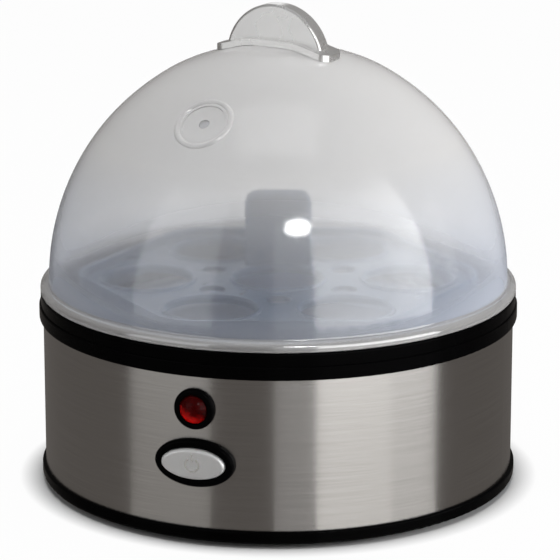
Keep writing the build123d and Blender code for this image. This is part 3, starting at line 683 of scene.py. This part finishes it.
def white_floor():
    """Floor that glows white to the eye. A fixed ring fades the glow out under the body as a painted
    contact shade, so that only lamp light and its real shadow show there.
    """
    bm = bmesh.new()
    bmesh.ops.create_grid(bm, x_segments=1, y_segments=1, size=floor_size / 2)
    floor = mesh_object("floor", bm)
    material, tree, shader = new_finish("floor_white")
    shader.inputs["Base Color"].default_value = (*floor_tone, 1.0)
    shader.inputs["Roughness"].default_value = 1.0
    shader.inputs["Specular IOR Level"].default_value = 0.0
    distance = tree.nodes.new("ShaderNodeVectorMath")
    distance.operation = "LENGTH"
    wire(tree, object_place(tree), distance.inputs[0])
    reach = (contact_inner, contact_outer)
    # Painted contact shade: the glow fades out in a fixed ring round the body
    share = spread(tree, distance.outputs["Value"], 0.0, floor_glow_share, source=reach)
    glow = tree.nodes.new("ShaderNodeEmission").outputs["Emission"]
    glow_share = calculate(tree, "MULTIPLY", seen_straight(tree), share)
    set_surface(tree, mix_shaders(tree, glow_share, shader.outputs["BSDF"], glow))
    floor.data.materials.append(material)


def gloss_card(name, bm, glow):
    """Card that only gloss sees, and that fades to the ceiling's glow with height."""
    card = mesh_object(name, bm)
    material = bpy.data.materials.new(name)
    material.use_nodes = True
    tree = material.node_tree
    tree.nodes.remove(tree.nodes["Principled BSDF"])
    light = tree.nodes.new("ShaderNodeEmission")
    height = spread(tree, split_place(tree)["Z"], 0.0, 1.0, source=(card_fade, card_height))
    wire(tree, two_tone(tree, height, glow, ceiling_glow, source=unit_range), light.inputs["Color"])
    set_surface(tree, light.outputs["Emission"])
    card.data.materials.append(material)
    card.visible_camera = False
    card.visible_diffuse = False
    card.visible_transmission = False
    card.visible_volume_scatter = False
    card.visible_shadow = False


def chain(bm, points):
    verts = [bm.verts.new(point) for point in points]
    return [bm.edges.new(pair) for pair in zip(verts, verts[1:])]


def sheet_card(name, sides, glow):
    bm = bmesh.new()
    edges = []
    for side in sides:
        edges += chain(bm, side)
    bmesh.ops.bridge_loops(bm, edges=edges)
    gloss_card(name, bm, glow)


def strip_card(name, edges, glow, far_glow):
    """Card by the body and one beyond it and up the wall, with edges that mirror upright."""
    rise = Vector((0, 0, card_rise))
    top = Vector((0, 0, card_height))
    near = [mirrored(bearing, card_start) + rise for bearing in edges]
    turn = [mirrored(bearing, card_turn) + rise for bearing in edges]
    far = [mirrored(bearing, card_reach) + rise for bearing in edges]
    sheet_card(name + "_near", list(zip(near, turn)), glow)
    sheet_card(name + "_far", [(start, foot, foot + top) for start, foot in zip(turn, far)], far_glow)


def ceiling_card():
    bm = bmesh.new()
    bmesh.ops.create_grid(bm, x_segments=1, y_segments=1, size=ceiling_size / 2)
    bmesh.ops.translate(bm, verts=bm.verts, vec=(0, 0, card_height))
    gloss_card("card_ceiling", bm, ceiling_glow)


def glint_card():
    """Small bright lamp beside the camera, whose glint shows on the lid."""
    place = aloft(glint_bearing, glint_lift, glint_reach)
    bm = bmesh.new()
    bmesh.ops.create_circle(bm, cap_ends=True, segments=glint_steps, radius=1.0)
    bmesh.ops.scale(bm, verts=bm.verts, vec=(glint_width / 2, glint_height / 2, 1.0))
    bmesh.ops.rotate(bm, verts=bm.verts, matrix=facing_object(place).to_matrix())
    bmesh.ops.translate(bm, verts=bm.verts, vec=place)
    gloss_card("card_glint", bm, glint_glow)


def reflection_cards():
    strip_card("card_far_left", (-far_edge, left_edges[0]), dark_glow, dark_glow)
    strip_card("card_left", left_edges, left_glow, left_far_glow)
    strip_card("card_middle", (left_edges[1], step_edge), dark_glow, dark_glow)
    strip_card("card_step", (step_edge, right_edges[0]), step_glow, step_far_glow)
    strip_card("card_right", right_edges[:2], right_glow, right_far_glow)
    strip_card("card_right_rim", right_edges[1:], right_rim_glow, right_far_glow)
    strip_card("card_far_right", (right_edges[2], far_edge), dark_glow, dark_glow)
    ceiling_card()
    glint_card()


def studio():
    white_world()
    white_floor()
    soft_lamp("key_lamp", *key_lamp)
    soft_lamp("fill_lamp", *fill_lamp)
    soft_lamp("top_lamp", *top_lamp)
    reflection_cards()


def photo_camera():
    bearing = math.radians(camera_azimuth)
    lift = math.radians(camera_elevation)
    right = Vector((math.cos(bearing), math.sin(bearing), 0))
    back = heading(0) * math.cos(lift) + Vector((0, 0, math.sin(lift)))
    up = back.cross(right)
    middle = Vector((0, 0, view_height))
    place = middle + back * camera_distance
    aim = middle + right * aim_right - up * aim_drop
    data = bpy.data.cameras.new("photo_camera")
    data.lens = camera_lens
    data.sensor_width = sensor_width
    data.clip_start = clip_near
    data.clip_end = clip_far
    camera = link(bpy.data.objects.new("photo_camera", data))
    camera.location = place
    camera.rotation_euler = (aim - place).to_track_quat("-Z", "Y").to_euler()
    bpy.context.scene.camera = camera


studio()
photo_camera()
bpy.context.scene.view_settings.view_transform = "Standard"
